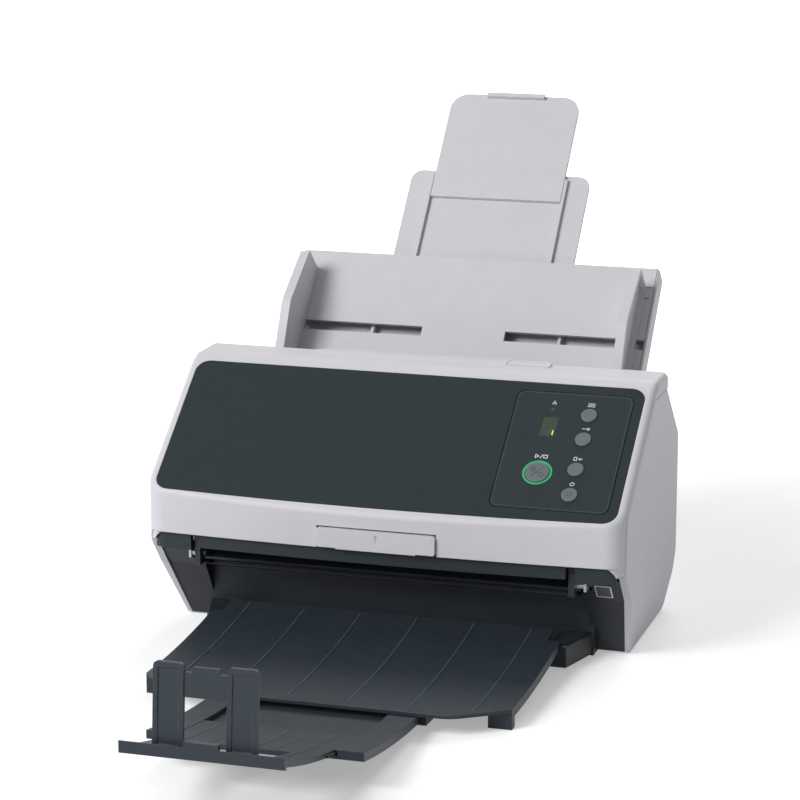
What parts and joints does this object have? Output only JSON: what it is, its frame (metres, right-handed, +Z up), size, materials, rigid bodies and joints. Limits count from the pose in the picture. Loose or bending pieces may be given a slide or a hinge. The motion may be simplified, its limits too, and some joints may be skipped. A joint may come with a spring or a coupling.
{
  "type": "sheet-fed document scanner",
  "caption": "Desktop sheet-fed scanner: hinged top cover with keys, sloping feed chute with side guides, and a folding, extending stacker with a flip-up stopper.",
  "frame": {"origin": "on the desk, at the middle of the whole object's footprint box", "axes": "+X to the object's right seen from its front, +Y to the rear, +Z up"},
  "size_m": [0.3, 0.6168, 0.3056],
  "materials": {
    "casing": "fine satin moulding",
    "panel": "satin moulding",
    "bezel": "satin film",
    "stacker": "fine grained moulding",
    "frame": "grained moulding",
    "key": "satin key cap",
    "light": "translucent",
    "display": "clear window",
    "steel": "bare sheet",
    "shaft": "ground",
    "rubber": "ground tyre",
    "foot": "moulded",
    "glass": "clear float glass",
    "optics": "black moulding",
    "motor": "drawn can",
    "gear": "acetal",
    "board": "solder mask",
    "socket": "moulding"
  },
  "bodies": {
    "base": {"base_tray": "frame", "rubber_feet": "foot", "base_screws": "steel", "right_side_cover": "casing", "left_side_cover": "casing", "rear_cover": "casing", "front_frame": "frame", "right_inner_frame": "steel", "left_inner_frame": "steel", "shaft_bushes": "gear", "hinge_pins": "shaft", "lower_paper_guide": "frame", "lower_scan_glass": "glass", "lower_optics_housing": "optics", "feed_motor": "motor", "pick_motor": "motor", "main_board": "board", "dc_inlet": "socket", "usb_socket": "motor", "lan_socket": "motor", "chute_body": "casing", "chute_back_cover": "casing"},
    "top_cover": {"top_cover_shell": "casing", "front_panel": "panel", "operator_bezel": "bezel", "display_window": "display", "check_lamp": "display", "scan_light_ring": "light", "panel_board": "board", "upper_chassis": "frame", "upper_scan_glass": "glass", "upper_optics_housing": "optics"},
    "release_tab": {"release_tab": "casing"},
    "latch_bar": {"latch_bar": "frame"},
    "pick_roller": {"pick_shaft": "shaft", "pick_tyres": "rubber"},
    "pick_pinion": {"pick_pinion": "gear"},
    "feed_roller": {"feed_shaft": "shaft", "feed_tyres": "rubber"},
    "exit_roller": {"exit_shaft": "shaft", "exit_tyres": "rubber"},
    "idler_gear": {"idler_gear": "gear"},
    "feed_pinion": {"feed_pinion": "gear"},
    "brake_roller": {"brake_roller": "rubber"},
    "feed_idlers": {"feed_idlers": "gear"},
    "exit_idlers": {"exit_idlers": "gear"},
    "left_side_guide": {"left_side_guide": "casing"},
    "right_side_guide": {"right_side_guide": "casing"},
    "guide_pinion": {"guide_pinion": "gear"},
    "chute_extension_1": {"chute_extension_1": "casing"},
    "chute_extension_2": {"chute_extension_2": "casing"},
    "stacker": {"stacker": "stacker"},
    "stacker_extension_1": {"stacker_extension_1": "stacker"},
    "stacker_extension_2": {"stacker_extension_2": "stacker"},
    "stopper": {"stopper": "stacker"},
    "function_button": {"function_button": "key"},
    "send_button": {"send_button": "key"},
    "manual_feed_button": {"manual_feed_button": "key"},
    "power_button": {"power_button": "key"},
    "scan_stop_button": {"scan_stop_button": "key"}
  },
  "joints": [
    {"name": "top_cover_hinge", "type": "hinge", "parent": "base", "child": "top_cover", "pos_m": [0, 0.10656, 0.141], "axis": [-1, 0, 0], "range_deg": [0, 80]},
    {"name": "release_tab_pull", "type": "hinge", "parent": "top_cover", "child": "release_tab", "pos_m": [0, -0.01224, 0.0796], "axis": [-1, 0, 0], "range_deg": [0, 10], "stiffness_Nm_per_rad": 0.05, "springref_deg": -2.86},
    {"name": "latch_turn", "type": "hinge", "parent": "top_cover", "child": "latch_bar", "pos_m": [0, -0.00394, 0.074], "axis": [-1, 0, 0], "range_deg": [0, 12]},
    {"name": "function_press", "type": "slide", "parent": "top_cover", "child": "function_button", "axis": [0, 0.6101, -0.7923], "range_m": [0, 0.0008], "stiffness_N_per_m": 300, "springref_m": -0.001},
    {"name": "send_press", "type": "slide", "parent": "top_cover", "child": "send_button", "axis": [0, 0.6101, -0.7923], "range_m": [0, 0.0008], "stiffness_N_per_m": 300, "springref_m": -0.001},
    {"name": "manual_feed_press", "type": "slide", "parent": "top_cover", "child": "manual_feed_button", "axis": [0, 0.6101, -0.7923], "range_m": [0, 0.0008], "stiffness_N_per_m": 300, "springref_m": -0.001},
    {"name": "power_press", "type": "slide", "parent": "top_cover", "child": "power_button", "axis": [0, 0.6101, -0.7923], "range_m": [0, 0.0008], "stiffness_N_per_m": 300, "springref_m": -0.001},
    {"name": "scan_stop_press", "type": "slide", "parent": "top_cover", "child": "scan_stop_button", "axis": [0, 0.6101, -0.7923], "range_m": [0, 0.0008], "stiffness_N_per_m": 300, "springref_m": -0.001},
    {"name": "pick_roller_spin", "type": "hinge", "parent": "base", "child": "pick_roller", "pos_m": [0, 0.10827, 0.08808], "axis": [1, 0, 0], "continuous": true},
    {"name": "pick_pinion_spin", "type": "hinge", "parent": "base", "child": "pick_pinion", "pos_m": [-0.13, 0.11825, 0.0696], "axis": [1, 0, 0], "continuous": true},
    {"name": "feed_roller_spin", "type": "hinge", "parent": "base", "child": "feed_roller", "pos_m": [0, 0.08295, 0.07907], "axis": [1, 0, 0], "continuous": true},
    {"name": "idler_gear_spin", "type": "hinge", "parent": "base", "child": "idler_gear", "pos_m": [0.13, 0.05817, 0.05883], "axis": [1, 0, 0], "continuous": true},
    {"name": "exit_roller_spin", "type": "hinge", "parent": "base", "child": "exit_roller", "pos_m": [0, 0.02696, 0.05176], "axis": [1, 0, 0], "continuous": true},
    {"name": "feed_pinion_spin", "type": "hinge", "parent": "base", "child": "feed_pinion", "pos_m": [0.13, 0.06858, 0.035], "axis": [1, 0, 0], "continuous": true},
    {"name": "brake_roller_spin", "type": "hinge", "parent": "top_cover", "child": "brake_roller", "pos_m": [0, 0.09937, 0.10632], "axis": [1, 0, 0], "continuous": true},
    {"name": "feed_idlers_spin", "type": "hinge", "parent": "top_cover", "child": "feed_idlers", "pos_m": [0, 0.07668, 0.09192], "axis": [1, 0, 0], "continuous": true},
    {"name": "exit_idlers_spin", "type": "hinge", "parent": "top_cover", "child": "exit_idlers", "pos_m": [0, 0.02113, 0.06371], "axis": [1, 0, 0], "continuous": true},
    {"name": "left_guide_slide", "type": "slide", "parent": "base", "child": "left_side_guide", "axis": [1, 0, 0], "range_m": [0, 0.08]},
    {"name": "right_guide_slide", "type": "slide", "parent": "base", "child": "right_side_guide", "axis": [-1, 0, 0], "range_m": [0, 0.08]},
    {"name": "guide_pinion_turn", "type": "hinge", "parent": "base", "child": "guide_pinion", "pos_m": [0, 0.17506, 0.16241], "axis": [0, -0.7431, 0.6691], "range_deg": [-509.8, 0]},
    {"name": "chute_extension_1_slide", "type": "slide", "parent": "base", "child": "chute_extension_1", "axis": [0, -0.6691, -0.7431], "range_m": [0, 0.072]},
    {"name": "chute_extension_2_slide", "type": "slide", "parent": "chute_extension_1", "child": "chute_extension_2", "axis": [0, -0.6691, -0.7431], "range_m": [0, 0.058]},
    {"name": "stacker_fold", "type": "hinge", "parent": "base", "child": "stacker", "pos_m": [0, 0.00456, 0.01], "axis": [-1, 0, 0], "range_deg": [0, 60]},
    {"name": "stacker_extension_1_slide", "type": "hinge", "parent": "stacker", "child": "stacker_extension_1", "pos_m": [0, -0.09444, 0.691], "axis": [1, 0, 0], "range_deg": [0, 7.9]},
    {"name": "stacker_extension_2_slide", "type": "hinge", "parent": "stacker_extension_1", "child": "stacker_extension_2", "pos_m": [0, -0.09444, 0.691], "axis": [1, 0, 0], "range_deg": [0, 6.3]},
    {"name": "stopper_flip", "type": "hinge", "parent": "stacker_extension_2", "child": "stopper", "pos_m": [0, -0.30244, 0.04044], "axis": [-1, 0, 0], "range_deg": [0, 100.5]}
  ],
  "couplings": [
    {"joint": "latch_turn", "follows": "release_tab_pull", "ratio": 1.2},
    {"joint": "pick_pinion_spin", "follows": "pick_roller_spin", "ratio": -2.5},
    {"joint": "idler_gear_spin", "follows": "feed_roller_spin", "ratio": -0.6},
    {"joint": "exit_roller_spin", "follows": "feed_roller_spin", "ratio": 1},
    {"joint": "feed_pinion_spin", "follows": "feed_roller_spin", "ratio": 2},
    {"joint": "right_guide_slide", "follows": "left_guide_slide", "ratio": 1},
    {"joint": "guide_pinion_turn", "follows": "left_guide_slide", "rad_per_m": -111.11}
  ]
}
